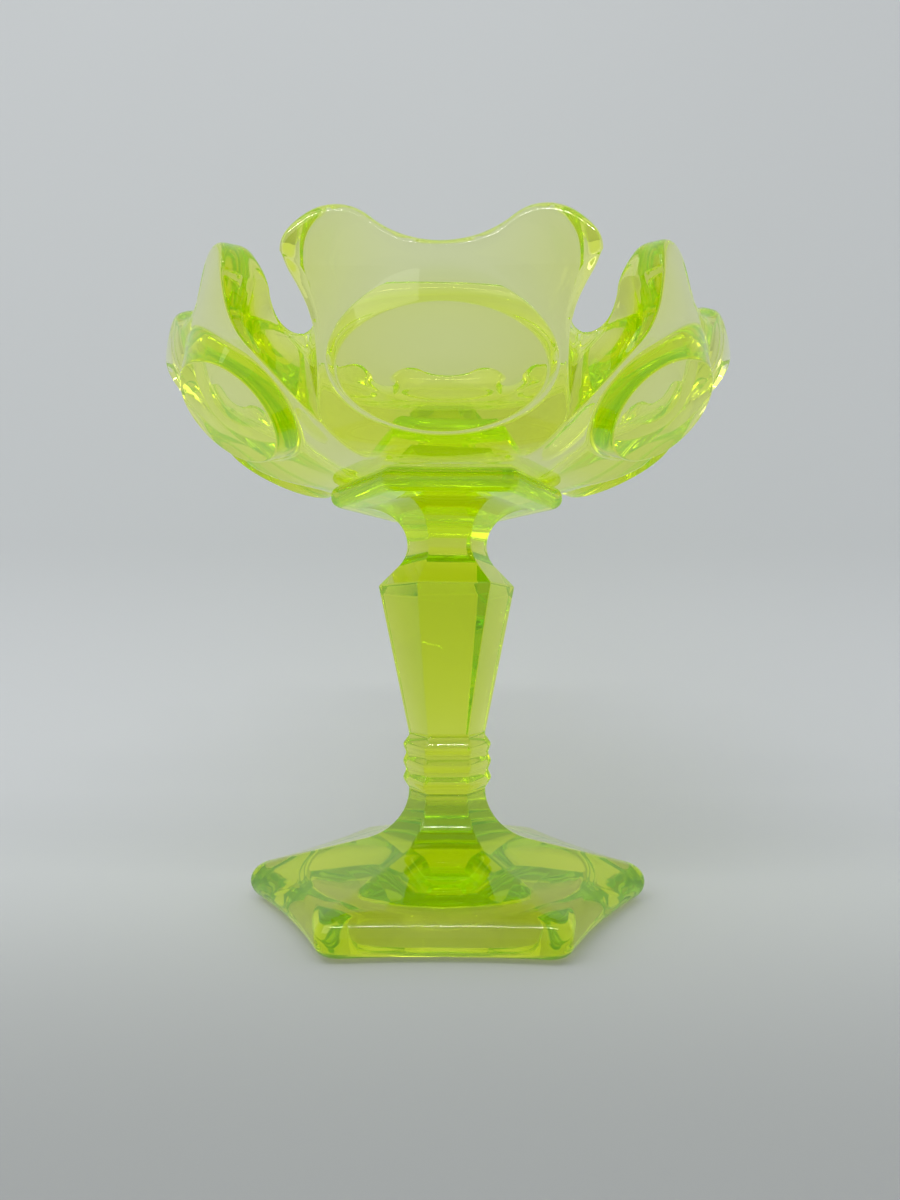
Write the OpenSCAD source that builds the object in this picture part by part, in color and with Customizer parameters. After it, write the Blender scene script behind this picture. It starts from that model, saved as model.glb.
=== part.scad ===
// Footed pressed-glass dish with six double-lobed petals, a faceted stem and a six-sided foot.
// Millimetres. +Z is up, the foot rests on z = 0, one petal faces -Y.

/* [Foot] */
// corner-to-corner size of the foot
foot_w = 106; // [90:1:120]
// thickness of the rounded edge of the foot
foot_edge = 9.2; // [7:0.1:11]
// fall of the foot's upper faces towards the edge, in degrees
foot_slope = 12.5; // [10:0.5:15]
// radius of the sweep from the foot's faces up to the collar
foot_sweep = 13.8; // [11:0.1:15]
// how far each side of the foot is hollowed in plan
foot_side_hollow = 1.4; // [0.5:0.1:2.5]
// radius of the round hollow under the foot
foot_recess_r = 37; // [30:0.5:38]
// depth of the hollow under the foot at its edge
foot_recess = 4; // [2:0.5:5]

/* [Collar] */
// corner radius of the collar's ring crests
ring_r = 12.1; // [11.5:0.1:14]
// depth of the grooves between the rings
ring_groove = 1; // [0.5:0.1:1.4]
// height of the three rings together
collar_h = 14.8; // [12:0.1:18]

/* [Stem] */
// corner radius where the stem leaves the collar
stem_foot_r = 10.3; // [9:0.1:11]
// corner radius of the sharp widest edge
knop_r = 18.6; // [16:0.1:21]
// height of the tapering part below the widest edge
taper_h = 39.4; // [34:0.1:44]
// height of the shoulder above the widest edge
shoulder_h = 5.1; // [4:0.1:6.5]
// corner radius at the top of the shoulder
shoulder_r = 13.5; // [12.6:0.1:15]
// corner radius of the narrowest neck
neck_r = 10.9; // [10:0.1:11.8]
// turn of the stem against the bowl and the foot, in degrees
stem_turn = 5; // [0:0.5:10]

/* [Plate] */
// corner-to-corner size of the six-sided plate under the bowl
plate_w = 63.8; // [58:0.2:68]
// thickness of the plate
plate_t = 6.2; // [5:0.1:8]
// turn of the plate against the bowl, in degrees
plate_turn = 3; // [0:0.5:6]

/* [Bowl] */
// distance between opposite petal faces near the rim
bowl_w = 138.4; // [132:0.2:144]
// height of the bowl from the plate to the tops of the lobes
bowl_h = 42.4; // [40:0.2:45]
// wall thickness at the middle of a petal
wall_t = 4.6; // [4:0.1:6]
// thickness of the bowl's floor
floor_t = 7.6; // [6:0.1:9]
// radius of each lobe on a petal's rim
lobe_r = 10.2; // [9:0.1:11]
// half the distance between the two lobes of a petal
lobe_x = 21; // [20:0.1:22]
// how far the rim dips between the two lobes
lobe_dip = 7.6; // [5:0.1:9]
// half the width of the gaps between petals
gap_r = 8.9; // [8:0.1:9.6]
// how far each gap reaches in towards the middle of the bowl, as a radius
gap_in = 59.2; // [58:0.2:61]
// lean of the gaps, outwards at the top, in degrees
gap_lean = 12; // [6:1:16]

/* [Oval windows] */
// half width of the oval boss at its root
boss_a = 24.3; // [22:0.1:25]
// half height of the oval boss at its root, along the slope
boss_b = 17; // [15:0.1:18]
// how much smaller the flat window is than the root of the boss, all round
window_inset = 2.9; // [2:0.1:3.6]
// height of the boss above the petal's face
boss_h = 4.6; // [3:0.1:6]
// lean of the window from upright, in degrees
boss_lean = 47.5; // [44:0.5:50]

/* [Hidden] */
$fn = 96;
// flats against corners of a regular six-sided outline
flat = cos(30);
foot_top = 28.7;
collar_top = foot_top + collar_h;
knop_z = collar_top + taper_h;
shoulder_z = knop_z + shoulder_h;
neck_z = shoulder_z + 5.9;
cove_r = 10.2;
stem_top = neck_z + cove_r;
plate_top = stem_top + plate_t;
rim_z = plate_top + bowl_h;
// bowl outside: floor round, straight flank, round shoulder, upright rim
wall_d = bowl_w / 2;
flank = 43;
low_r = 31;
low_x = 29;
low_x1 = low_x + low_r * sin(flank);
low_z1 = plate_top + low_r * (1 - cos(flank));
high_r = 20;
high_x1 = wall_d - high_r * (1 - sin(flank));
run = (high_x1 - low_x1) / cos(flank);
high_z1 = low_z1 + run * sin(flank);
high_z2 = high_z1 + high_r * cos(flank);
// bowl inside: flat floor, long shallow curve, then a tighter curve up to the upright rim
in_floor = plate_top + floor_t;
in_x0 = 20;
in_low_r = 60;
in_slope = 33;
in_x1 = in_x0 + in_low_r * sin(in_slope);
in_z1 = in_floor + in_low_r * (1 - cos(in_slope));
in_rim = wall_d - wall_t;
in_high_r = (in_rim - in_x1) / (1 - sin(in_slope));
in_z3 = in_z1 + in_high_r * cos(in_slope);
lobe_z = rim_z - lobe_r;
valley_drop = lobe_r - lobe_dip;
valley_r = (lobe_x * lobe_x + valley_drop * valley_drop - lobe_r * lobe_r) / (2 * (lobe_r - valley_drop));
boss_d = 56.8;
boss_z = plate_top + 14.8;
boss_root = 3;
side_slope = window_inset / boss_h;

glass = [0.72, 0.86, 0.12, 0.6];

// a six-sided solid whose upright section through the flats is the child shape
module six_sided(reach) {
    intersection() {
        for_slab(30, reach) children();
        for_slab(90, reach) children();
        for_slab(150, reach) children();
    }
}

// one straight slab of the section, facing the given direction
module for_slab(turn, reach) {
    rotate([0, 0, turn])
        rotate([90, 0, 0])
            translate([0, 0, -reach])
                linear_extrude(height = 2 * reach)
                    children();
}

// a closed section from its right-hand points, listed upwards
module even_section(points) {
    count = len(points);
    polygon(concat(points, [for (i = [count - 1 : -1 : 0]) [-points[i][0], points[i][1]]]));
}

// two equal circles either side of the upright axis
module two_circles(x, z, r) {
    translate([x, z]) circle(r = r);
    translate([-x, z]) circle(r = r);
}

// a block of the section, centred on the upright axis
module middle_block(half, z, tall) {
    translate([-half, z]) square([2 * half, tall]);
}

// the foot: hollow-sided plan, swept faces, full-round edge and a hollow below
module foot() {
    edge_r = foot_edge / 2;
    edge_x = (foot_w / 2) * flat - edge_r;
    neck_d = stem_foot_r * flat;
    sweep_x = neck_d + foot_sweep;
    tan_x = sweep_x - foot_sweep * sin(foot_slope);
    tan_z = foot_top - foot_sweep * cos(foot_slope);
    side_r = 200;
    side_x = (foot_w / 2) * flat - foot_side_hollow + side_r;
    color(glass) difference() {
        intersection() {
            six_sided(60) {
                difference() {
                    even_section([[edge_x, 0], [edge_x, foot_edge], [tan_x, tan_z], [sweep_x, foot_top]]);
                    two_circles(sweep_x, foot_top, foot_sweep);
                }
                two_circles(edge_x, edge_r, edge_r);
            }
            translate([0, 0, -1]) cylinder(r = foot_w / 2 - 0.9, h = 60);
        }
        for (side = [30 : 60 : 330])
            rotate([0, 0, side])
                translate([side_x, 0, -1])
                    cylinder(r = side_r, h = 60, $fn = 360);
        translate([0, 0, -1]) cylinder(r = foot_recess_r, h = foot_recess + 1);
        translate([0, 0, foot_recess - 0.01]) cylinder(r1 = foot_recess_r - 1, r2 = 12, h = 1.6);
    }
}

// the collar: three rings with sharp crests
module ring_collar() {
    crest = ring_r * flat;
    groove = (ring_r - ring_groove) * flat;
    end_x = stem_foot_r * flat;
    step = collar_h / 6.6;
    first = 1.3 * step;
    color(glass) translate([0, 0, foot_top]) six_sided(30)
        even_section([
            [end_x, 0],
            [crest, first],
            [groove, first + step],
            [crest, first + 2 * step],
            [groove, first + 3 * step],
            [crest, first + 4 * step],
            [end_x, collar_h]
        ]);
}

// the stem: tapering body, sharp widest edge, sloping shoulder and hollow-sided neck
module stem() {
    neck_d = neck_r * flat;
    shoulder_d = shoulder_r * flat;
    dip = shoulder_d - neck_d;
    fall = neck_z - shoulder_z;
    low_cove = (fall * fall + dip * dip) / (2 * dip);
    color(glass) rotate([0, 0, stem_turn]) six_sided(40) difference() {
        even_section([
            [stem_foot_r * flat, collar_top],
            [knop_r * flat, knop_z],
            [shoulder_d, shoulder_z],
            [shoulder_d, neck_z],
            [neck_d, neck_z],
            [neck_d, neck_z + 1],
            [neck_d + cove_r, neck_z + 1],
            [neck_d + cove_r, stem_top]
        ]);
        two_circles(neck_d + low_cove, neck_z, low_cove);
        two_circles(neck_d + cove_r, neck_z, cove_r);
    }
}

// the plate: a six-sided disc with a rounded edge
module bowl_plate() {
    edge_r = 2.8;
    edge_x = (plate_w / 2) * flat - edge_r;
    color(glass) rotate([0, 0, plate_turn]) intersection() {
        six_sided(50) {
            middle_block(edge_x, stem_top, plate_t);
            middle_block(edge_x + edge_r, stem_top + edge_r, plate_t - 2 * edge_r);
            two_circles(edge_x, stem_top + edge_r, edge_r);
            two_circles(edge_x, plate_top - edge_r, edge_r);
        }
        translate([0, 0, stem_top - 1]) cylinder(r = plate_w / 2 - 0.8, h = plate_t + 2);
    }
}

// points along an arc of the section
function arc(x, z, r, from, to, steps) =
    [for (i = [0 : steps]) [x + r * cos(from + (to - from) * i / steps), z + r * sin(from + (to - from) * i / steps)]];

// section through the flats of the bowl's outside
module bowl_section() {
    even_section(concat(
        arc(low_x, plate_top + low_r, low_r, -90, flank - 90, 9),
        arc(wall_d - high_r, high_z2, high_r, flank - 90, 0, 8),
        [[wall_d, rim_z + 9]]
    ));
}

// the round inside of the bowl
module bowl_inside() {
    rotate_extrude()
        polygon(concat(
            [[0, in_floor]],
            arc(in_x0, in_floor + in_low_r, in_low_r, -90, in_slope - 90, 6),
            arc(in_rim - in_high_r, in_z3, in_high_r, in_slope - 90, 0, 8),
            [[in_rim, rim_z + 9], [0, rim_z + 9]]
        ));
}

// outline of one petal as seen from outside: two lobes with a dip between them
module petal_outline() {
    valley_z = lobe_z + valley_drop + valley_r;
    meet = atan2(valley_z - lobe_z, -lobe_x);
    half = lobe_x + lobe_r;
    polygon(concat(
        [[half, lobe_z - 20]],
        arc(lobe_x, lobe_z, lobe_r, 0, meet, 10),
        arc(0, valley_z, valley_r, meet - 180, -meet, 9),
        arc(-lobe_x, lobe_z, lobe_r, 180 - meet, 180, 10),
        [[-half, lobe_z - 20]]
    ));
}

// one petal's oval boss with sloping sides, its root let into the wall
module oval_boss() {
    grow = boss_root * side_slope;
    root = [boss_b + grow, boss_a + grow];
    scaling = [(boss_b - window_inset) / root[0], (boss_a - window_inset) / root[1]];
    translate([boss_d, 0, boss_z])
        rotate([0, 90 + boss_lean, 0])
            translate([0, 0, -boss_root])
                linear_extrude(height = boss_root + boss_h, scale = scaling, slices = 1)
                    polygon([for (a = [0 : 9 : 351]) [root[0] * cos(a), root[1] * sin(a)]]);
}

// the gap between two petals: a round-bottomed slot through the wall, and a leaning flute below it outside
module gap() {
    cut = gap_r - 0.4;
    floor_z = rim_z - 19.2;
    translate([45, 0, floor_z + cut]) rotate([0, 90, 0]) cylinder(r = cut, h = 50);
    translate([45, -cut, floor_z + cut]) cube([50, 2 * cut, 30]);
    translate([gap_in + gap_r, 0, floor_z]) rotate([0, gap_lean, 0]) translate([0, 0, -45]) cylinder(r = gap_r, h = 90);
    translate([gap_in + gap_r, 0, floor_z]) rotate([0, gap_lean, 0]) translate([0, -gap_r, -45]) cube([40, 2 * gap_r, 90]);
}

// the bowl: round inside, six flat-faced petals outside
module bowl() {
    color(glass) difference() {
        intersection() {
            union() {
                six_sided(90) bowl_section();
                for (petal = [30 : 60 : 330]) rotate([0, 0, petal]) oval_boss();
            }
            union() {
                translate([0, 0, plate_top]) cylinder(r = 90, h = lobe_z - 10 - plate_top);
                for (petal = [30 : 60 : 330])
                    rotate([0, 0, petal])
                        translate([30, 0, 0])
                            rotate([90, 0, 90])
                                linear_extrude(height = 60)
                                    petal_outline();
            }
        }
        bowl_inside();
        for (corner = [0 : 60 : 300]) rotate([0, 0, corner]) gap();
    }
}

bowl();
bowl_plate();
stem();
ring_collar();
foot();
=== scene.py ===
import bmesh
import bpy
import numpy as np
from bpy.props import FloatProperty, FloatVectorProperty, PointerProperty
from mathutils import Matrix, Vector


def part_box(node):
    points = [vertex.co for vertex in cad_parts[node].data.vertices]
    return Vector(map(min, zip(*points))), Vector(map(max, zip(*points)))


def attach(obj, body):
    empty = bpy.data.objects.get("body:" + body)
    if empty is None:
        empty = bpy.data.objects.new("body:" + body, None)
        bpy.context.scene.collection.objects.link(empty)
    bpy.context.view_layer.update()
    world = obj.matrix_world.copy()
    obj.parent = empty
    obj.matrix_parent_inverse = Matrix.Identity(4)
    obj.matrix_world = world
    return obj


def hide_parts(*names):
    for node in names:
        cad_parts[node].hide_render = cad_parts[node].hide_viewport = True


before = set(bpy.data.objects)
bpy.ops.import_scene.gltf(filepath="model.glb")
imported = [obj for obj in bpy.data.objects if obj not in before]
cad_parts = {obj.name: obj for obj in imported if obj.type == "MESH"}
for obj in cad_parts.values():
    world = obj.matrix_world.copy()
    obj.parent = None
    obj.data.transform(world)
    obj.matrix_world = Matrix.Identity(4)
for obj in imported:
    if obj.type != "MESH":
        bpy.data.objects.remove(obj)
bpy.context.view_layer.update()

bl_info = {
    "name": "Petal Dish Maker",
    "version": (1, 0, 0),
    "blender": (4, 5, 0),
    "location": "3D View > Sidebar > Dish",
    "description": "Makes a footed pressed-glass dish with six double-lobed petals",
    "category": "Add Mesh",
}

TO_MM = 1000


def box_mm(node):
    """Low and high corner of a node's box in millimetres, in which the glass pieces are worked out."""
    return [np.array(corner) * TO_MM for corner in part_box(node)]


BOWL_BOX = box_mm("bowl")
PLATE_BOX = box_mm("bowl_plate")
STEM_BOX = box_mm("stem")
COLLAR_BOX = box_mm("ring_collar")
FOOT_BOX = box_mm("foot")
HALF_SIDE = np.radians(30)
FLAT = np.cos(HALF_SIDE)  # distance of a six-sided outline's flats where its corners stand at 1
JOIN = 10.3 * FLAT  # distance of the flats where foot, collar and stem meet
LAP = 0.01  # how far stacked glass pieces run into each other
COLLAR_YAW, KNOP_YAW, NECK_YAW = 3.0, 7.5, 4.0  # degrees that the stem stands turned, from its foot up
WINDOW_OUT, WINDOW_UP, WINDOW_LEAN = 56.8, 14.8, 47.5  # middle of the oval window, and its lean in degrees
HALVINGS = 40  # steps that find a place by halving


# ---------------------------------------------------------------- sizes and colours

class DishSizes(bpy.types.PropertyGroup):
    """Sizes of the dish that a maker would change"""

    petal_distance: FloatProperty(
        name="Petal distance", description="From the upright axis to a petal's face near the rim",
        default=0.0692, unit="LENGTH")
    wall: FloatProperty(
        name="Wall", description="Glass thickness at the middle of a petal",
        default=0.0046, unit="LENGTH")
    lobe_radius: FloatProperty(
        name="Lobe radius", description="Radius of each lobe on a petal's rim", default=0.0102, unit="LENGTH")
    lobe_offset: FloatProperty(
        name="Lobe offset", description="Half the distance between the two lobes of a petal",
        default=0.021, unit="LENGTH")
    window_half_width: FloatProperty(
        name="Window half width", description="Half the width of the flat oval window",
        default=0.0214, unit="LENGTH")
    window_half_height: FloatProperty(
        name="Window half height", description="Half the height of the flat oval window along its slope",
        default=0.0141, unit="LENGTH")
    window_rise: FloatProperty(
        name="Window rise", description="How far the window stands out of the petal's face",
        default=0.0046, unit="LENGTH")
    knop_radius: FloatProperty(
        name="Knop radius", description="Corner radius of the stem's sharp widest edge",
        default=0.0186, unit="LENGTH")
    neck_radius: FloatProperty(
        name="Neck radius", description="Corner radius of the stem's narrowest neck",
        default=0.0109, unit="LENGTH")
    foot_radius: FloatProperty(
        name="Foot radius", description="Corner radius of the foot", default=0.053, unit="LENGTH")


class DishColours(bpy.types.PropertyGroup):
    """Colours and depth of the glass and the studio"""

    glass: FloatVectorProperty(
        name="Glass", description="Colour that light keeps on its way through the glass",
        default=(0.905, 0.955, 0.0), size=3, min=0, max=1, subtype="COLOR")
    depth: FloatProperty(
        name="Depth of colour", description="How strongly the glass colours light, per metre",
        default=100.0, min=0, soft_max=300)
    # partly the glass's own green glow, partly painted light: emission that lifts the glass's dark, thick and
    # shaded parts
    painted_glow: FloatVectorProperty(
        name="Glow", description="Faint light that the glass gives out by itself",
        default=(0.80, 1.0, 0.0), size=3, min=0, max=1, subtype="COLOR")
    painted_glow_strength: FloatProperty(
        name="Glow strength", description="Strength of that faint light", default=0.028, min=0, soft_max=1)
    backdrop: FloatVectorProperty(
        name="Backdrop", description="Colour of the pale sweep that the dish stands on",
        default=(0.53, 0.548, 0.552), size=3, min=0, max=1, subtype="COLOR")


# ---------------------------------------------------------------- small shared maths

def ease(value):
    """Smooth step from 0 to 1: three times the square less twice the cube."""
    value = np.clip(value, 0, 1)
    return value * value * (3 - 2 * value)


def arc_points(x, z, radius, start, end, count):
    """Points of a circle arc in the upright section: centre plus radius times cosine and sine."""
    turn = np.radians(np.linspace(start, end, count))
    return np.stack([x + radius * np.cos(turn), z + radius * np.sin(turn)], 1)


def path_length(points):
    """Running length along a line of points, from 0."""
    steps = np.linalg.norm(np.diff(points, axis=0), axis=1)
    return np.concatenate([[0.0], np.cumsum(steps)])


def bend(first, corner, last, parts, stop=1.0):
    """Rounded corner: a quadratic curve from first to last pulled towards the corner, one row per part.
    A stop below 1 ends the curve early."""
    t = np.linspace(0, 1, parts)[:, None, None] * np.reshape(stop, (1, -1, 1))
    return (1 - t) ** 2 * first + 2 * t * (1 - t) * corner + t ** 2 * last


def rows_between(start, end, places):
    """Straight rows: start plus place times (end less start), one row per place."""
    t = np.asarray(places)[:, None, None]
    return start * (1 - t) + end * t


def toward(point, target, reach):
    """Point moved by reach along the straight way to the target, never past 45% of it."""
    way = target - point
    size = np.maximum(np.linalg.norm(way, axis=-1, keepdims=True), 1e-9)
    reach = np.broadcast_to(reach, size.shape[:-1])[..., None]
    return point + way / size * np.minimum(reach, 0.45 * size)


def directions(line, first):
    """Unit direction along a line at each of its points, the first one as given."""
    way = np.gradient(line, axis=0)
    way[0] = first
    return way / np.maximum(np.linalg.norm(way, axis=1, keepdims=True), 1e-9)


def furthest(low, high, holds):
    """Furthest place between low and high where the test still holds, found by halving."""
    for _ in range(HALVINGS):
        trial = (low + high) / 2
        good = holds(trial)
        low, high = np.where(good, trial, low), np.where(good, high, trial)
    return low


def grid_faces(rows, columns, closed):
    """Four-sided faces between neighbouring rows and columns, the last column meeting the first if closed."""
    index = np.arange(rows * columns).reshape(rows, columns)
    right = np.roll(index, -1, 1) if closed else index[:, 1:]
    left = index if closed else index[:, :-1]
    return np.stack([left[:-1], right[:-1], right[1:], left[1:]], -1).reshape(-1, 4)


def add_piece(name, node, material, points, faces):
    """Welds the grid's seams, turns the faces outwards and adds the piece to the scene, in metres."""
    mesh = bpy.data.meshes.new(name)
    mesh.from_pydata((points / TO_MM).tolist(), [], faces.tolist())
    work = bmesh.new()
    work.from_mesh(mesh)
    bmesh.ops.remove_doubles(work, verts=work.verts, dist=2e-6)
    bmesh.ops.recalc_face_normals(work, faces=work.faces)
    if work.calc_volume(signed=True) < 0:
        bmesh.ops.reverse_faces(work, faces=work.faces)
    if any(len(edge.link_faces) != 2 for edge in work.edges):
        raise ValueError(f"{name} is not closed")
    work.to_mesh(mesh)
    work.free()
    mesh.shade_smooth()
    mesh.materials.append(material)
    piece = bpy.data.objects.new(name, mesh)
    bpy.context.scene.collection.objects.link(piece)
    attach(piece, "root")
    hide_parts(node)


# ---------------------------------------------------------------- six-sided pieces

def six_sided_piece(name, node, material, profile, rounding, yaw=0.0, hollow=0.0, roundness=0.0):
    """Six-sided turned piece: at each profile point (distance of the flats, height) the outline is six
    flats joined by small corner arcs, turned by the yaw for that height. The hollow pulls each flat in
    by hollow times one less the square of the place across it. A roundness of 1 makes the outline a
    circle. The first and last rows close on the axis."""
    across = np.array([-1, -0.97, -0.8, -0.45, 0, 0.45, 0.8, 0.97])
    corner_turn = np.radians(np.linspace(-30, 30, 8)[:-1])
    rounding, hollow, roundness = (np.reshape(v, (-1, 1)) for v in (rounding, hollow, roundness))
    yaw = np.radians(np.reshape(yaw, (-1, 1)))
    flats = np.maximum(profile[:, 0], 1e-6)[:, None]
    edge = np.minimum(rounding, flats * 0.6)
    half = (flats - edge) * np.tan(HALF_SIDE)
    centre = (flats - edge) / FLAT
    out, along = flats - hollow * (1 - across ** 2), half * across
    columns_x, columns_y = [], []
    for face in np.radians(30 + 60 * np.arange(6)):
        corner = face + HALF_SIDE
        columns_x.append(out * np.cos(face) - along * np.sin(face))
        columns_y.append(out * np.sin(face) + along * np.cos(face))
        columns_x.append(centre * np.cos(corner) + edge * np.cos(corner + corner_turn))
        columns_y.append(centre * np.sin(corner) + edge * np.sin(corner + corner_turn))
    x, y = np.hstack(columns_x), np.hstack(columns_y)
    turn = np.arctan2(y, x)
    x = x * (1 - roundness) + flats * np.cos(turn) * roundness
    y = y * (1 - roundness) + flats * np.sin(turn) * roundness
    points = np.stack([x * np.cos(yaw) - y * np.sin(yaw), x * np.sin(yaw) + y * np.cos(yaw),
                       np.broadcast_to(profile[:, 1:], x.shape)], -1)
    rows, columns = x.shape
    bottom, lid = (np.broadcast_to([0.0, 0.0, profile[row, 1]], (1, columns, 3)) for row in (0, -1))
    points = np.concatenate([bottom, points, lid])
    add_piece(name, node, material, points.reshape(-1, 3), grid_faces(rows + 2, columns, True))


def soften(points, radii, parts):
    """Rounds each inner corner of a profile by its radius: a quadratic curve between points set back from
    the corner along both sides, with one more point close behind each end to hold the flats flat."""
    points = np.asarray(points, float)
    made = [points[:1]]
    for before, here, after, radius in zip(points[:-2], points[1:-1], points[2:], radii):
        if radius <= 0:
            made.append(here[None])
            continue
        back, onward = before - here, after - here
        back_size, onward_size = np.linalg.norm(back), np.linalg.norm(onward)
        back, onward = back / back_size, onward / onward_size
        reach = min(radius, 0.45 * back_size, 0.45 * onward_size)
        start, end = here + back * reach, here + onward * reach
        t = np.linspace(0, 1, parts)[:, None]
        curve = (1 - t) ** 2 * start + 2 * t * (1 - t) * here + t ** 2 * end
        hold = min(0.2, reach) / 2
        made += [start[None] + back * hold, curve, end[None] + onward * hold]
    made.append(points[-1:])
    return np.concatenate(made)


def foot_piece(sizes, material):
    """Foot: full-round edge, faces rising to a sweep and a neck, flat resting band and a round hollow."""
    top = FOOT_BOX[1][2]
    edge, sweep_radius, face_lean = 4.6, 13.8, 74.5
    edge_x = sizes.foot_radius * TO_MM * FLAT - edge
    sweep = arc_points(JOIN + sweep_radius, top, sweep_radius, 180, 180 + face_lean, 22)
    rim = arc_points(edge_x, edge, edge, face_lean, -90, 26)
    slope = sweep[-1] + (rim[0] - sweep[-1]) * np.linspace(0, 1, 14)[1:-1, None]
    band = [[edge_x - 0.2, 0], [38.6, 0]]
    lip = [[37.9, 0], [37.2, 0.25], [36.8, 0.9], [36.5, 2.2], [36.1, 3.2], [35.4, 3.8], [34.2, 4.15]]
    dome = [[31, 4.5], [26, 4.9], [20, 5.25], [14, 5.5], [8, 5.62], [3, 5.66]]
    outer = np.concatenate([[[JOIN * 0.5, top + LAP], [JOIN - 0.1, top + LAP]], sweep, slope, rim])
    profile = np.concatenate([outer, band, lip, dome])
    roundness = np.concatenate([np.zeros(len(outer)), [0, 0.85], np.ones(len(lip) + len(dome))])
    place = np.clip((profile[:, 0] - JOIN) / (edge_x - JOIN), 0, 1)
    rounding = 0.7 + 3.3 * place ** 2
    hollow = 1.4 * ease((profile[:, 0] - 12) / 30) * (1 - roundness)
    six_sided_piece("foot_base", "foot", material, profile, rounding,
                    hollow=hollow, roundness=roundness)


def collar_piece(material):
    """Collar: three soft-crested rings between two narrower ends, turning slightly as they rise."""
    low, high = COLLAR_BOX[0][2], COLLAR_BOX[1][2]
    end_part, ring_parts = 1.3, 4
    crest, groove, near_end = 12.1 * FLAT, 11.05 * FLAT, JOIN + 0.12
    part = (high - low) / (2 * end_part + ring_parts)
    z = low + part * (end_part + np.arange(ring_parts + 1))
    points = [[JOIN * 0.4, low - LAP], [JOIN, low - LAP], [near_end, low + 0.5]]
    points += [[crest, z[0]], [groove, z[1]], [crest, z[2]], [groove, z[3]], [crest, z[4]]]
    points += [[near_end, high - 0.6], [JOIN, high + LAP], [JOIN * 0.4, high + LAP]]
    profile = soften(points, [0, 0, 0.85, 0.7, 0.85, 0.7, 0.85, 0, 0], 7)
    yaw = COLLAR_YAW * ease((profile[:, 1] - low) / (high - low))
    six_sided_piece("collar_rings", "ring_collar", material, profile, 0.9, yaw)


def stem_piece(sizes, material):
    """Stem: straight taper up to a sharp edge, sloping shoulder, round neck and a cove under the plate."""
    low, high = STEM_BOX[0][2], STEM_BOX[1][2]
    knop, neck, shoulder = sizes.knop_radius * TO_MM * FLAT, sizes.neck_radius * TO_MM * FLAT, 13.5 * FLAT
    taper, cove = 39.4, 10.2
    knop_z, shoulder_z, neck_z = low + taper, low + 44.5, high - cove
    dip, fall = shoulder - neck, neck_z - shoulder_z
    round_r = (fall * fall + dip * dip) / (2 * dip)
    start_turn = 180 + np.degrees(np.arcsin(fall / round_r))
    lower = arc_points(neck + round_r, neck_z, round_r, start_turn, 180, 12)
    upper = arc_points(neck + cove, neck_z, cove, 180, 92, 22)[1:]
    body = [[JOIN * 0.4, low - LAP], [JOIN, low - LAP]]
    body += [[JOIN + (knop - JOIN) * t, low + taper * t] for t in (0.02, 0.2, 0.4, 0.6, 0.8, 0.95)]
    body += [[knop, knop_z], [shoulder, shoulder_z], lower[1]]
    lid = [[neck + cove, high + LAP], [neck, high + LAP]]
    profile = np.concatenate([soften(body, [0, 0, 0, 0, 0, 0, 0, 0.45, 0.5], 5), lower[2:], upper, lid])
    yaw = np.interp(profile[:, 1], [low, knop_z, high], [COLLAR_YAW, KNOP_YAW, NECK_YAW])
    six_sided_piece("stem_body", "stem", material, profile, 0.45, yaw)


def plate_piece(material):
    """Plate: a six-sided disc with a full-round edge."""
    low, high = PLATE_BOX[0][2], PLATE_BOX[1][2]
    edge, inner = 2.8, 10
    edge_x = 31.9 * FLAT - edge
    lower = arc_points(edge_x, low + edge, edge, -90, 0, 12)
    upper = arc_points(edge_x, high - edge, edge, 0, 90, 12)
    lower[0, 1] -= LAP
    upper[-1, 1] += LAP
    profile = np.concatenate([[[inner, low - LAP]], lower, upper, [[inner, high + LAP]]])
    six_sided_piece("plate_disc", "bowl_plate", material, profile, 2.2, COLLAR_YAW)


# ---------------------------------------------------------------- the bowl

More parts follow.
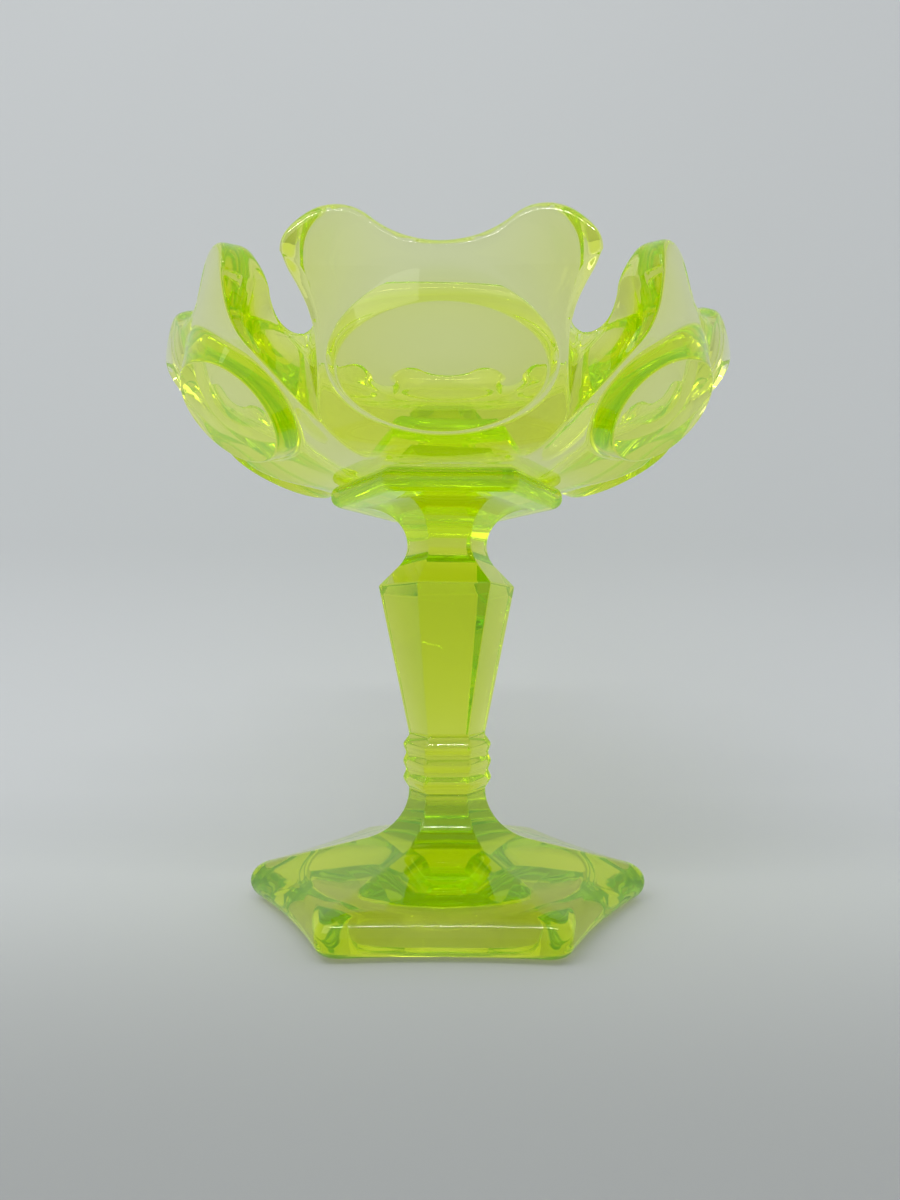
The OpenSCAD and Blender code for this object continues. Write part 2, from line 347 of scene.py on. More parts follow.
class PetalShape:
    """Half of one petal in its own directions: out along the petal, across towards the gap, and up.
    The outer face is a profile carried straight across; the inside is a profile turned about the axis."""

    FLANK, LOW_X, LOW_RADIUS, HIGH_RADIUS = 43.0, 29.0, 31.0, 20.0  # outer profile: lean in degrees, two arcs
    INNER_FLANK, INNER_X, INNER_RADIUS, FLOOR = 33.0, 20.0, 60.0, 7.6  # inner profile, thickness of the floor
    GAP_RADIUS = 8.9  # of the gap's round floor
    PAST_RIM = 5  # how far both profiles run on above the rim
    # heights above the base, with half widths of the face and distances of the gap's floor from the axis
    EDGE_HEIGHTS = (4.8, 7.5, 11, 15, 19.5, 23, 26, 29, 32.2)
    EDGE_WIDTHS = (26.3, 26.35, 26.2, 25.7, 25.6, 26.5, 28.0, 29.9, 31.2)
    GAP_HEIGHTS = (4.8, 7, 9.5, 13, 17, 22.5, 42.4)
    GAP_FLOORS = (52.6, 55.0, 56.7, 57.9, 58.6, 59.1, 62.9)

    def __init__(self, sizes):
        self.base, self.top = BOWL_BOX[0][2], BOWL_BOX[1][2]
        self.face = sizes.petal_distance * TO_MM
        self.outside = self.outer_profile()
        self.inside = self.inner_profile(self.face - sizes.wall * TO_MM)
        self.outside_run = path_length(self.outside)
        self.inside_run = path_length(self.inside)

    def outer_profile(self):
        """Arc from the level, straight flank and arc to the upright."""
        sine, cosine = np.sin(np.radians(self.FLANK)), np.cos(np.radians(self.FLANK))
        start = [self.LOW_X + self.LOW_RADIUS * sine, self.base + self.LOW_RADIUS * (1 - cosine)]
        end_x = self.face - self.HIGH_RADIUS * (1 - sine)
        end = [end_x, start[1] + (end_x - start[0]) / cosine * sine]
        high_x, high_z = self.face - self.HIGH_RADIUS, end[1] + self.HIGH_RADIUS * cosine
        return np.concatenate([
            arc_points(self.LOW_X, self.base + self.LOW_RADIUS, self.LOW_RADIUS, -90, self.FLANK - 90, 60),
            np.linspace(start, end, 30)[1:-1],
            arc_points(high_x, high_z, self.HIGH_RADIUS, self.FLANK - 90, 0, 60),
            [[self.face, self.top + self.PAST_RIM]]])

    def inner_profile(self, rim):
        """Level floor, wide shallow arc and an arc to the upright."""
        floor, start, radius = self.base + self.FLOOR, self.INNER_X, self.INNER_RADIUS
        sine, cosine = np.sin(np.radians(self.INNER_FLANK)), np.cos(np.radians(self.INNER_FLANK))
        high_radius = (rim - start - radius * sine) / (1 - sine)
        high_z = floor + radius * (1 - cosine) + high_radius * cosine
        turn = self.INNER_FLANK - 90
        return np.concatenate([
            [[0, floor]],
            arc_points(start, floor + radius, radius, -90, turn, 50),
            arc_points(rim - high_radius, high_z, high_radius, turn, 0, 50),
            [[rim, self.top + self.PAST_RIM]]])

    def face_point(self, across, run):
        """Point of the outer face: the profile at that running length, moved across."""
        out = np.interp(run, self.outside_run, self.outside[:, 0])
        up = np.interp(run, self.outside_run, self.outside[:, 1])
        return np.stack([out, across, up], -1)

    def face_run(self, up):
        """Running length of the outer profile at a height."""
        return np.interp(up, self.outside[:, 1], self.outside_run)

    def face_out(self, up):
        """Distance of the outer profile at a height."""
        return np.interp(up, self.outside[:, 1], self.outside[:, 0])

    def skin_point(self, turn, run):
        """Point of the inside: the profile at that running length, turned by that angle."""
        radius = np.interp(run, self.inside_run, self.inside[:, 0])
        up = np.interp(run, self.inside_run, self.inside[:, 1])
        return np.stack([radius * np.cos(turn), radius * np.sin(turn), up], -1)

    def skin_run(self, up):
        """Running length of the inner profile at a height."""
        return np.interp(up, self.inside[:, 1], self.inside_run)

    def skin_radius(self, up):
        """Radius of the inner profile at a height."""
        return np.interp(up, self.inside[:, 1], self.inside[:, 0])

    def edge_across(self, up):
        """Half width of the petal's face beside the gap, a smooth line through chosen heights."""
        heights = self.base + np.array(self.EDGE_HEIGHTS)
        fine = np.linspace(heights[0], heights[-1], 60)
        line = np.interp(fine, heights, self.EDGE_WIDTHS)
        for _ in range(3):
            line[1:-1] = (line[:-2] + 2 * line[1:-1] + line[2:]) / 4
        return np.interp(up, fine, line)

    def gap_floor(self, up):
        """Distance of the gap's floor line from the axis."""
        return np.interp(up, self.base + np.array(self.GAP_HEIGHTS), self.GAP_FLOORS)

    def gap_edge(self, up):
        """Where the petal's face meets the gap, measured along and across the gap's own middle line."""
        out, across = self.face_out(up), self.edge_across(up)
        c, s = np.cos(HALF_SIDE), np.sin(HALF_SIDE)
        return out * c + across * s, np.maximum(out * s - across * c, 0)

    def gap_depth(self, up):
        """Depth of the gap at a height, and the turn of its round floor: a right angle where it is deep."""
        deep = np.maximum(self.gap_edge(up)[0] - self.gap_floor(up), 1e-4)
        return deep, np.arccos(np.clip(1 - deep / self.GAP_RADIUS, 0, 1))

    def gap_length(self, up):
        """Length of the gap's side: its arc and the straight part beyond."""
        deep, turn = self.gap_depth(up)
        return self.GAP_RADIUS * turn + np.maximum(deep - self.GAP_RADIUS, 0)

    def gap_point(self, run, up):
        """Point of the gap's U-shaped side: an arc from the floor line, then straight out to the face."""
        edge_y, full = self.gap_edge(up)[1], self.gap_depth(up)[1]
        turn = np.minimum(run / self.GAP_RADIUS, full)
        straight = np.maximum(run - self.GAP_RADIUS * full, 0)
        x = self.gap_floor(up) + self.GAP_RADIUS * (1 - np.cos(turn)) + straight
        y = edge_y * np.sin(turn) / np.maximum(np.sin(full), 1e-6)
        c, s = np.cos(HALF_SIDE), np.sin(HALF_SIDE)
        return np.stack([x * c + y * s, x * s - y * c, np.broadcast_to(up, x.shape)], -1)


def oval_window(sizes, shape, angle):
    """Window's middle, its rim and the foot of the boss's side at each angle round the oval."""
    lean = np.radians(WINDOW_LEAN)
    normal = np.array([np.cos(lean), 0, -np.sin(lean)])
    down = np.array([-np.sin(lean), 0, -np.cos(lean)])
    middle = np.array([WINDOW_OUT, 0, shape.base + WINDOW_UP])
    wide, tall = sizes.window_half_width * TO_MM, sizes.window_half_height * TO_MM
    ring = np.array([0.0, 1.0, 0.0]) * np.sin(angle)[:, None]
    drop = down * np.cos(angle)[:, None]
    crown = middle + sizes.window_rise * TO_MM * normal
    rim = crown + wide * ring + tall * drop
    root = middle + (wide + 2.5) * ring + (tall + 2.9) * drop

    def proud(reach):
        point = rim + (root - rim) * reach[:, None]
        return point[:, 0] > shape.face_out(point[:, 2])

    reach = furthest(np.full(len(angle), 0.3), np.full(len(angle), 3.0), proud)
    return crown, rim, rim + (root - rim) * reach[:, None]


class HalfPetal:
    """Half of one petal as a grid. Rows run from the window's middle out over the boss, the face, the rim
    and the thickness of the glass to the inside and down to the floor; columns run round the outline."""

    BASE, RIDGE, FLUTE, SIDE, LOBE, DIP = 7, 8, 20, 13, 26, 12  # columns in each stretch of the outline
    MERGE, CREST = 4.8, 23.3  # heights where the corner ridge opens into a flute and where the gap starts
    CREST_STEP, CREST_ROUND = 1.4, 1.3  # the gap starts that much higher outside; radius of its inner edge
    DIP_DEPTH = 7.6  # how far the rim dips between its two lobes
    FAN_WIDE, FAN_TALL = 24.3, 17.0  # oval that spreads the columns round the window
    ROOT_ROUND = 1.2  # rounding where the boss meets the petal's face
    LOBE_ROUND, CROWN_ROUND = 1.6, 2.9  # rounding of the rim's inner edge, beside the gap and on top
    INNER_RISE, OUTER_DROP = 0.8, 1.0  # the rim's inner edge stands higher than its outer edge
    PAST_EDGE = 0.2  # how far the gap's inner edge is followed past its last column
    PLACES = np.linspace(0, 1, 9)  # rows across the thickness of the glass
    SPREAD = 62.0  # mm of the inside laid flat for one radian about the axis
    INWARD, INNER_LOW = 5.0, 15.5  # lines down the inside: pull square to the edge, height where they end

    def __init__(self, sizes):
        self.sizes, self.shape = sizes, PetalShape(sizes)
        self.merge_z, self.crest_z = self.shape.base + self.MERGE, self.shape.base + self.CREST
        self.lobe_z = self.shape.top - sizes.lobe_radius * TO_MM
        self.ridge_at = self.BASE
        self.flute_at = self.ridge_at + self.RIDGE
        self.side_at = self.flute_at + self.FLUTE
        self.lobe_at = self.side_at + self.SIDE
        self.count = self.lobe_at + self.LOBE + self.DIP
        self.side_share = np.linspace(0, 1, self.SIDE + 1)[:-1]
        self.past_side = np.arange(self.count - self.lobe_at)
        self.trace_outline()
        self.trace_inner_edge()

    def trace_outline(self):
        """Outline of the face: base, corner ridge, edge of the flute, side of the gap, lobe and dip."""
        shape, slope = self.shape, np.tan(HALF_SIDE)
        lobe_r, lobe_x = self.sizes.lobe_radius * TO_MM, self.sizes.lobe_offset * TO_MM
        base_s = np.linspace(0, shape.face_out(shape.base) * slope, self.BASE + 1)[:-1]
        ridge_run = np.linspace(0, shape.face_run(self.merge_z), self.RIDGE + 1)[:-1]
        ridge = shape.face_point(ridge_run, ridge_run)
        side_low = self.crest_z + self.CREST_STEP
        flute_z = np.linspace(self.merge_z, side_low, self.FLUTE + 1)[:-1]
        side_z = side_low + (self.lobe_z - side_low) * self.side_share
        lift = lobe_r - self.DIP_DEPTH
        dip_r = (lobe_x ** 2 + lift ** 2 - lobe_r ** 2) / (2 * (lobe_r - lift))
        dip_z = self.lobe_z + lift + dip_r
        meet = np.degrees(np.arctan2(dip_z - self.lobe_z, -lobe_x))
        lobe = arc_points(lobe_x, self.lobe_z, lobe_r, 0, meet, self.LOBE + 1)[:-1]
        dip = arc_points(0, dip_z, dip_r, meet - 180, -90, self.DIP)
        dip[-1, 0] = 0.0
        self.across = np.concatenate([base_s, ridge[:, 0] * slope, shape.edge_across(flute_z),
                                      shape.edge_across(side_z), lobe[:, 0], dip[:, 0]])
        up = np.concatenate([np.full(self.BASE, shape.base), ridge[:, 2], flute_z, side_z,
                             lobe[:, 1], dip[:, 1]])
        crown = np.concatenate([np.zeros(self.lobe_at), ease(self.past_side / 12)])
        self.inner_up = up + self.INNER_RISE * crown
        self.up = up - self.OUTER_DROP * crown
        self.run = shape.face_run(self.up)
        self.run[:self.ridge_at] = 0
        self.run[self.ridge_at:self.flute_at] = ridge_run
        self.across[self.flute_at] = shape.face_point(0.0, self.run[self.flute_at])[0] * slope
        self.corner = shape.face_point(self.across, self.run)
        self.corner[:self.ridge_at + 1, 2] = shape.base - LAP
        place = np.arange(self.count)
        self.outer_r = 0.7 + 0.3 * ease((place - self.ridge_at) / 4)
        self.outer_r += 0.5 * ease((place - self.side_at) / self.SIDE)
        self.outer_r += 1.5 * ease((place - self.lobe_at) / 10)

    def trace_inner_edge(self):
        """Edge of the inside from the gap's crest round to the dip: turns about the axis and runs along the
        inner profile. The rounding radii grow from the crest to the lobe and with the glass's thickness."""
        shape = self.shape
        self.edge_z = self.crest_z + (self.lobe_z - self.crest_z) * self.side_share ** 2

        def within(run):
            point = shape.gap_point(run, self.edge_z)
            return np.hypot(point[:, 0], point[:, 1]) < shape.skin_radius(self.edge_z)

        self.edge_run = furthest(np.zeros(self.SIDE), np.full(self.SIDE, 14.0), within)
        self.edge_run[0] = 0.0
        side = shape.gap_point(self.edge_run, self.edge_z)
        end = shape.gap_point(self.edge_run[-1:] + self.PAST_EDGE, np.array([self.lobe_z]))[0]
        side_turn = np.arctan2(side[:, 1], side[:, 0])
        side_turn[0] = HALF_SIDE
        rim_turn = np.arctan2(self.across[self.lobe_at:], shape.face)
        rim_turn += (np.arctan2(end[1], end[0]) - rim_turn[0]) * (1 - ease(self.past_side / 14))
        self.turn = np.concatenate([side_turn, rim_turn])
        self.skin_run = shape.skin_run(np.concatenate([self.edge_z, self.inner_up[self.lobe_at:]]))
        self.inner = shape.skin_point(self.turn, self.skin_run)
        reach = np.linalg.norm(self.corner[self.lobe_at:] - self.inner[self.SIDE:], axis=1)
        crown_r = np.minimum(self.CROWN_ROUND, 0.46 * reach)
        rim_r = self.LOBE_ROUND + (crown_r - self.LOBE_ROUND) * ease(self.past_side / 8)
        self.inner_r = np.concatenate([self.CREST_ROUND + 0.3 * self.side_share, rim_r])

    def face_rows(self):
        """Rows over the window, the boss's side and the petal's face, up to the rounding of its edge."""
        shape = self.shape
        window_run = shape.face_run(shape.base + WINDOW_UP)
        angle = np.arctan2(self.across / self.FAN_WIDE, (window_run - self.run) / self.FAN_TALL)
        angle[0], angle[-1] = 0.0, np.pi
        crown, rim, foot = oval_window(self.sizes, shape, angle)
        foot_s, foot_run = foot[:, 1], shape.face_run(foot[:, 2])
        inset_s, inset_run = foot_s - self.across, foot_run - self.run
        inset = np.maximum(np.hypot(inset_s, inset_run), 1e-6)
        step = np.minimum(self.outer_r, 0.45 * inset) / inset
        face_s, face_run = self.across + inset_s * step, self.run + inset_run * step
        root_step = np.minimum(self.ROOT_ROUND, 0.35 * inset * (1 - step)) / inset
        root_s, root_run = foot_s - inset_s * root_step, foot_run - inset_run * root_step
        share = np.array([0.04, 0.15, 0.3, 0.45, 0.6, 0.74, 0.86, 0.96])[:, None]
        window_in = toward(rim, crown, 0.5)
        side_start, side_end = toward(rim, foot, 0.6), toward(foot, rim, 1.0)
        self.face_end = shape.face_point(face_s, face_run)
        across, run = root_s + (face_s - root_s) * share, root_run + (face_run - root_run) * share
        return [rows_between(crown, window_in, [0, 0.15, 0.35, 0.55, 0.75, 0.9, 0.985]),
                bend(window_in, rim, side_start, 5),
                rows_between(side_start, side_end, [0.05, 0.5, 0.95]),
                bend(side_end, foot, shape.face_point(root_s, root_run), 5),
                shape.face_point(across, run)]

    def base_rows(self):
        """Bottom of the bowl: level, straight to the axis."""
        columns = slice(0, self.ridge_at)
        axis_point = np.array([0, 0, self.shape.base - LAP])
        first = toward(self.corner[columns], axis_point, self.outer_r[columns])
        return rows_between(first, axis_point, self.PLACES)

    def ridge_ends(self):
        """Corner ridge: the face's edge mirrored across the gap's middle plane, and the ridge line itself."""
        columns = slice(self.ridge_at, self.flute_at + 1)
        start = self.face_end[columns]
        gap_normal = np.array([np.sin(HALF_SIDE), -np.cos(HALF_SIDE), 0])
        mirrored = start - 2 * (start @ gap_normal)[:, None] * gap_normal
        return mirrored, bend(start, self.corner[columns], mirrored, 2, 0.5)[1]

    def flute_rows(self):
        """Flute below the gap: round its U to the middle plane, where the rows spread up to the crest."""
        columns = slice(self.flute_at + 1, self.side_at)
        up, fall = self.up[columns], self.PLACES[:, None]
        full = self.shape.gap_length(up)
        start_run = full - np.minimum(self.outer_r[columns], 0.45 * full)
        spread = np.arange(1, self.FLUTE) / self.FLUTE
        floor_z = self.merge_z + (self.crest_z - self.CREST_ROUND - self.merge_z) * spread
        rows_up = up + (floor_z - up) * ease(fall) ** 0.9
        return self.shape.gap_point(start_run / full * (1 - fall) * self.shape.gap_length(rows_up), rows_up)

    def side_rows(self):
        """Side of the gap: round the U to a line set back from the inner edge by its rounding radius."""
        columns = slice(self.side_at, self.lobe_at)
        up, fall = self.up[columns], self.PLACES[:, None]
        line = np.stack([np.append(self.edge_run, self.edge_run[-1] + self.PAST_EDGE),
                         np.append(self.edge_z, self.lobe_z)], -1)
        along = directions(line, [1, 0])[:-1]
        back_run = self.edge_run + along[:, 1] * self.inner_r[:self.SIDE]
        back_z = self.edge_z - along[:, 0] * self.inner_r[:self.SIDE]
        full = self.shape.gap_length(up)
        start_run = full - np.minimum(self.outer_r[columns], 0.4 * full)
        rows_run = start_run + (back_run - start_run) * fall
        return self.shape.gap_point(rows_run, up + (back_z - up) * ease(fall))

    def lobe_rows(self, last_side):
        """Lobe and dip: straight through the glass, easing out of the bow of the gap's last column."""
        corner, inner = self.corner[self.lobe_at:], self.inner[self.SIDE:]
        bow = last_side - rows_between(last_side[0], last_side[-1], self.PLACES)
        first = toward(corner, inner, self.outer_r[self.lobe_at:])
        band_end = toward(inner, corner, self.inner_r[self.SIDE:])
        fade = (1 - ease(self.past_side / 12))[None, :, None]
        return rows_between(first, band_end, self.PLACES) + bow * fade

    def edge_rows(self):
        """Rows round the outer edge and across the thickness of the glass."""
        mirrored, ridge_line = self.ridge_ends()
        side = self.side_rows()
        ridge_band = np.broadcast_to(ridge_line, (len(self.PLACES), *ridge_line.shape))
        bands = np.concatenate([self.base_rows(), ridge_band, self.flute_rows(), side,
                                self.lobe_rows(side[:, -1:])], 1)
        ridge = slice(self.ridge_at, self.flute_at + 1)
        first, stop = bands[0].copy(), np.ones(self.count)
        first[ridge], stop[ridge] = mirrored, 0.5
        rounding = bend(self.face_end, self.corner, first, 6, stop)
        rounding[-1, ridge] = ridge_line
        return [rounding, bands[1:]]

    def inside_rows(self, band_end):
        """Rows round the inner edge and down the round inside to the middle of its floor. On the inside laid
        flat, each line is a quadratic curve that starts square to the edge."""
        shape, edge_s = self.shape, self.turn * self.SPREAD
        flat_line = np.stack([edge_s, self.skin_run], -1)
        along = directions(flat_line, [-1, 0])
        along[-1] = [-1, 0]
        ahead = flat_line + np.stack([-along[:, 1], along[:, 0]], -1) * self.INWARD
        edge_length = path_length(flat_line)
        floor_run = shape.skin_run(shape.base + self.INNER_LOW)
        target = np.stack([edge_s[0] * (1 - edge_length / edge_length[-1]),
                           np.full(len(edge_s), floor_run)], -1)
        ahead[0, 0] = target[0, 0] = edge_s[0]
        ahead[-1, 0] = target[-1, 0] = 0.0
        start = self.inner_r / (2 * self.INWARD)
        share = np.array([0, 0.03, 0.1, 0.2, 0.32, 0.45, 0.6, 0.75, 0.88, 1.0])[:, None]
        v = (start + (1 - start) * share)[..., None]
        curve = (1 - v) ** 2 * flat_line + 2 * v * (1 - v) * ahead + v ** 2 * target
        curve[:, 0, 0] = edge_s[0]
        upper = shape.skin_point(curve[..., 0] / self.SPREAD, curve[..., 1])
        down = floor_run * (1 - np.linspace(0, 1, 15)[1:, None])
        lower = shape.skin_point(target[:, 0] / self.SPREAD, np.broadcast_to(down, (len(down), len(target))))
        return np.concatenate([bend(band_end, self.inner, upper[0], 6)[1:], upper[1:], lower])

    def grid(self):
        """Points as rows and columns, and the faces between them. The columns before the gap's side end on
        the axis or on the gap's middle plane. There the inside's rows stay on one spot, and no face joins
        them to the columns that go on."""
        rows = np.concatenate([*self.face_rows(), *self.edge_rows()])
        inside = self.inside_rows(rows[-1, self.side_at:])
        still = np.broadcast_to(rows[-1, :self.side_at], (len(inside), self.side_at, 3))
        points = np.concatenate([rows, np.concatenate([still, inside], 1)])
        faces = grid_faces(len(points), self.count, False)
        row, column = np.divmod(faces[:, 0], self.count)
        return points, faces[(column != self.side_at - 1) | (row < len(rows) - 1)]


def bowl_piece(sizes, material):
    """Bowl: the half petal, its mirror image, and both turned to the six petal directions."""
    half, faces = HalfPetal(sizes).grid()
    mirrored = half * np.array([1, -1, 1])
    pair = np.concatenate([half.reshape(-1, 3), mirrored.reshape(-1, 3)])
    pair_faces = np.concatenate([faces, faces[:, ::-1] + half.shape[0] * half.shape[1]])
    turns = np.radians(30 + 60 * np.arange(6))
    c, s = np.cos(turns)[:, None], np.sin(turns)[:, None]
    points = np.stack([pair[:, 0] * c - pair[:, 1] * s, pair[:, 0] * s + pair[:, 1] * c,
                       np.broadcast_to(pair[:, 2], (6, len(pair)))], -1).reshape(-1, 3)
    all_faces = (pair_faces[None] + (np.arange(6) * len(pair))[:, None, None]).reshape(-1, 4)
    add_piece("dish_bowl", "bowl", material, points, all_faces)


# ---------------------------------------------------------------- glass and studio materials

def pressed_skin_group():
    """Shader group for pressed glass: slow waves left by the mould, fine ripple and an uneven polish."""
    group = bpy.data.node_groups.new("pressed_glass_skin", "ShaderNodeTree")
    for label, value in (("Wave Size", 60.0), ("Ripple Size", 420.0), ("Polish", 0.02), ("Seed", 0.0)):
        socket = group.interface.new_socket(name=label, in_out="INPUT", socket_type="NodeSocketFloat")
        socket.default_value = value
    for label, kind in (("Height", "NodeSocketFloat"), ("Roughness", "NodeSocketFloat"),
                        ("Tint", "NodeSocketColor")):
        group.interface.new_socket(name=label, in_out="OUTPUT", socket_type=kind)
    nodes, links = group.nodes, group.links
    source, sink = nodes.new("NodeGroupInput"), nodes.new("NodeGroupOutput")
    place = nodes.new("ShaderNodeTexCoord")
    noises = []
    for label, detail in (("Wave Size", 1.0), ("Ripple Size", 2.0)):
        noise = nodes.new("ShaderNodeTexNoise")
        noise.noise_dimensions = "4D"
        noise.inputs["Detail"].default_value = detail
        links.new(place.outputs["Object"], noise.inputs["Vector"])
        links.new(source.outputs[label], noise.inputs["Scale"])
        links.new(source.outputs["Seed"], noise.inputs["W"])
        noises.append(noise)
    ripple = nodes.new("ShaderNodeMath")
    ripple.operation = "MULTIPLY_ADD"
    ripple.inputs[1].default_value = 0.06
    links.new(noises[1].outputs["Fac"], ripple.inputs[0])
    links.new(noises[0].outputs["Fac"], ripple.inputs[2])
    links.new(ripple.outputs[0], sink.inputs["Height"])
    polish = nodes.new("ShaderNodeMath")
    polish.operation = "MULTIPLY"
    links.new(noises[0].outputs["Fac"], polish.inputs[0])
    links.new(source.outputs["Polish"], polish.inputs[1])
    links.new(polish.outputs[0], sink.inputs["Roughness"])
    tint = nodes.new("ShaderNodeMix")
    tint.data_type = "RGBA"
    tint.inputs["A"].default_value = (1.0, 1.0, 0.97, 1)
    tint.inputs["B"].default_value = (0.97, 1.0, 0.92, 1)
    links.new(noises[0].outputs["Fac"], tint.inputs["Factor"])
    links.new(tint.outputs["Result"], sink.inputs["Tint"])
    return group


def glass_material(name, colours, seed, strength):
    """Clear yellow-green glass: colour from its depth, deeper by the strength, a faint painted glow that
    lifts its dark, thick parts, and the pressed skin on its surface."""
    material = bpy.data.materials.new(name)
    material.use_nodes = True
    nodes, links = material.node_tree.nodes, material.node_tree.links
    surface = nodes["Principled BSDF"]
    surface.inputs["Transmission Weight"].default_value = 1.0
    surface.inputs["IOR"].default_value = 1.5
    surface.inputs["Metallic"].default_value = 0.0
    # painted light: faint emission that brightens the glass's dark, thick parts, partly standing in for its
    # own green glow
    surface.inputs["Emission Color"].default_value = (*colours.painted_glow, 1)
    surface.inputs["Emission Strength"].default_value = colours.painted_glow_strength
    skin = nodes.new("ShaderNodeGroup")
    skin.node_tree = bpy.data.node_groups.get("pressed_glass_skin") or pressed_skin_group()
    skin.inputs["Seed"].default_value = seed
    links.new(skin.outputs["Tint"], surface.inputs["Base Color"])
    links.new(skin.outputs["Roughness"], surface.inputs["Roughness"])
    height = nodes.new("ShaderNodeBump")
    height.inputs["Strength"].default_value = 0.05
    height.inputs["Distance"].default_value = 0.001
    links.new(skin.outputs["Height"], height.inputs["Height"])
    links.new(height.outputs["Normal"], surface.inputs["Normal"])
    depth = nodes.new("ShaderNodeVolumeAbsorption")
    depth.inputs["Color"].default_value = (*colours.glass, 1)
    depth.inputs["Density"].default_value = colours.depth * strength
    links.new(depth.outputs["Volume"], nodes["Material Output"].inputs["Volume"])
    return material


def backdrop_material(colours):
    """Pale matt paper, faintly uneven, with painted shade darkening it towards the front, that gives out a
    little light.
    """
    material = bpy.data.materials.new("pale_sweep")
    material.use_nodes = True
    nodes, links = material.node_tree.nodes, material.node_tree.links
    surface = nodes["Principled BSDF"]
    surface.inputs["Roughness"].default_value = 0.9
    place = nodes.new("ShaderNodeTexCoord")
    noise = nodes.new("ShaderNodeTexNoise")
    noise.inputs["Scale"].default_value = 6.0
    ramp = nodes.new("ShaderNodeMix")
    ramp.data_type = "RGBA"
    ramp.inputs["A"].default_value = (*colours.backdrop, 1)
    ramp.inputs["B"].default_value = (*[v * 0.97 for v in colours.backdrop], 1)
    links.new(place.outputs["Object"], noise.inputs["Vector"])
    links.new(noise.outputs["Fac"], ramp.inputs["Factor"])
    split = nodes.new("ShaderNodeSeparateXYZ")
    links.new(place.outputs["Object"], split.inputs["Vector"])
    # painted shade: the paper darkens towards the front, where the light falls off
    painted_front_shade = nodes.new("ShaderNodeMapRange")
    painted_front_shade.interpolation_type = "SMOOTHSTEP"
    for label, value in (("From Min", -0.13), ("From Max", 0.03), ("To Min", 0.62), ("To Max", 1.0)):
        painted_front_shade.inputs[label].default_value = value
    links.new(split.outputs["Y"], painted_front_shade.inputs["Value"])
    shade = nodes.new("ShaderNodeVectorMath")
    shade.operation = "SCALE"
    links.new(ramp.outputs["Result"], shade.inputs[0])
    links.new(painted_front_shade.outputs["Result"], shade.inputs["Scale"])
    links.new(shade.outputs["Vector"], surface.inputs["Base Color"])
    links.new(shade.outputs["Vector"], surface.inputs["Emission Color"])
    surface.inputs["Emission Strength"].default_value = 0.18
    return material


# ---------------------------------------------------------------- the stage

def add_sweep(scene):
    """Sweep: a level floor, a quarter circle up and a straight wall, as depths and heights in metres."""
    bend_turn = np.radians(np.linspace(5, 90, 18))
    start, radius = 0.08, 0.12
    air = 0.0006  # lets light out under the foot
    depth = np.concatenate([np.linspace(-1.2, start, 6), start + radius * np.sin(bend_turn),
                            np.full(3, start + radius)])
    rise = np.concatenate([np.zeros(6), radius - radius * np.cos(bend_turn), [0.4, 0.8, 1.2]]) - air
    width = np.linspace(-1.6, 1.6, 5)
    shape = (len(depth), len(width))
    points = np.stack([np.broadcast_to(width, shape), np.broadcast_to(depth[:, None], shape),
                       np.broadcast_to(rise[:, None], shape)], -1)
    mesh = bpy.data.meshes.new("sweep")
    mesh.from_pydata(points.reshape(-1, 3).tolist(), [], grid_faces(*shape, False).tolist())
    mesh.shade_smooth()
    mesh.materials.append(backdrop_material(scene.dish_colours))
    sweep = bpy.data.objects.new("sweep", mesh)
    scene.collection.objects.link(sweep)


def add_lights(scene):
    """An even pale room, one large soft light from the upper left and a thin strip for the highlights."""
    world = bpy.data.worlds.new("soft_room")
    scene.world = world
    world.use_nodes = True
    world.node_tree.nodes["Background"].inputs["Color"].default_value = (0.95, 0.97, 1.0, 1)
    world.node_tree.nodes["Background"].inputs["Strength"].default_value = 0.64
    for label, place, turn, size, power in (
            ("key_soft", (-0.75, -0.7, 1.1), (42, 0, -45), (1.1, 1.1), 5.0),
            ("top_strip", (0.0, -0.42, 0.62), (36, 0, 0), (0.7, 0.012), 1.2)):
        light = bpy.data.lights.new(label, "AREA")
        light.shape = "RECTANGLE"
        light.size, light.size_y = size
        light.energy = power
        lamp = bpy.data.objects.new(label, light)
        lamp.location = place
        lamp.rotation_euler = np.radians(turn)
        scene.collection.objects.link(lamp)


def add_camera(scene):
    """Wide lens close to the dish, a little below its middle."""
    lens = bpy.data.cameras.new("camera")
    lens.lens, lens.sensor_width, lens.sensor_fit = 24.0, 36.0, "AUTO"
    lens.clip_start, lens.clip_end = 0.005, 20
    camera = bpy.data.objects.new("camera", lens)
    camera.location = (0.0038, -0.2169, 0.0676)
    camera.rotation_euler = np.radians((93.06, 0.0, 0.8))
    scene.collection.objects.link(camera)
    scene.camera = camera


# ---------------------------------------------------------------- operators

class DISH_OT_bowl(bpy.types.Operator):
    """Makes the petalled bowl"""
    bl_idname = "dish.bowl"
    bl_label = "Bowl"

    def execute(self, context):
        scene = context.scene
        bowl_piece(scene.dish_sizes, glass_material("bowl_clear_glass", scene.dish_colours, 1.0, 0.85))
        return {"FINISHED"}


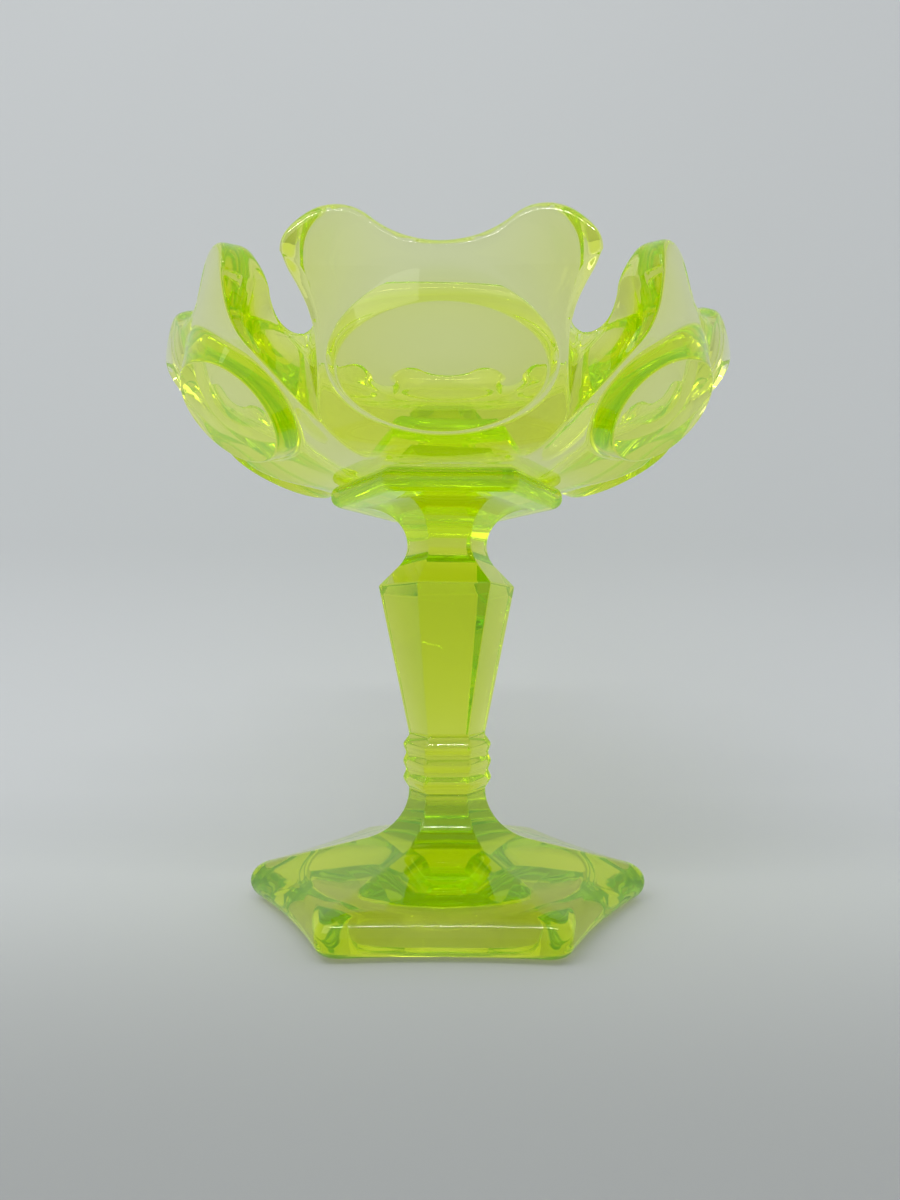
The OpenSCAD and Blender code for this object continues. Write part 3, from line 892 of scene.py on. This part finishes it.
class DISH_OT_stem(bpy.types.Operator):
    """Makes the plate, the stem and the ringed collar"""
    bl_idname = "dish.stem"
    bl_label = "Plate, stem and collar"

    def execute(self, context):
        scene = context.scene
        glass = glass_material("stem_clear_glass", scene.dish_colours, 4.0, 1.35)
        plate_piece(glass)
        stem_piece(scene.dish_sizes, glass)
        collar_piece(glass)
        return {"FINISHED"}


class DISH_OT_foot(bpy.types.Operator):
    """Makes the six-sided foot"""
    bl_idname = "dish.foot"
    bl_label = "Foot"

    def execute(self, context):
        scene = context.scene
        foot_piece(scene.dish_sizes, glass_material("foot_clear_glass", scene.dish_colours, 7.0, 1.7))
        return {"FINISHED"}


class DISH_OT_stage(bpy.types.Operator):
    """Makes the pale sweep, the soft lights and the camera"""
    bl_idname = "dish.stage"
    bl_label = "Stage"

    def execute(self, context):
        scene = context.scene
        add_sweep(scene)
        add_lights(scene)
        add_camera(scene)
        scene.view_settings.view_transform = "Standard"
        scene.cycles.max_bounces = scene.cycles.transmission_bounces = 32
        scene.cycles.glossy_bounces = 16
        return {"FINISHED"}


class DISH_PT_panel(bpy.types.Panel):
    """Lists the steps that make the dish"""
    bl_idname = "DISH_PT_panel"
    bl_label = "Petal dish"
    bl_space_type = "VIEW_3D"
    bl_region_type = "UI"
    bl_category = "Dish"

    def draw(self, context):
        for operator in OPERATORS:
            self.layout.operator(operator.bl_idname)
        for name in DishSizes.__annotations__:
            self.layout.prop(context.scene.dish_sizes, name)
        for name in DishColours.__annotations__:
            self.layout.prop(context.scene.dish_colours, name)


OPERATORS = (DISH_OT_stage, DISH_OT_foot, DISH_OT_stem, DISH_OT_bowl)
CLASSES = (DishSizes, DishColours, *OPERATORS, DISH_PT_panel)


def register():
    for cls in CLASSES:
        bpy.utils.register_class(cls)
    bpy.types.Scene.dish_sizes = PointerProperty(type=DishSizes)
    bpy.types.Scene.dish_colours = PointerProperty(type=DishColours)


def unregister():
    del bpy.types.Scene.dish_colours
    del bpy.types.Scene.dish_sizes
    for cls in reversed(CLASSES):
        bpy.utils.unregister_class(cls)


def main():
    register()
    bpy.ops.dish.stage()
    bpy.ops.dish.foot()
    bpy.ops.dish.stem()
    bpy.ops.dish.bowl()


if __name__ == "__main__":
    main()
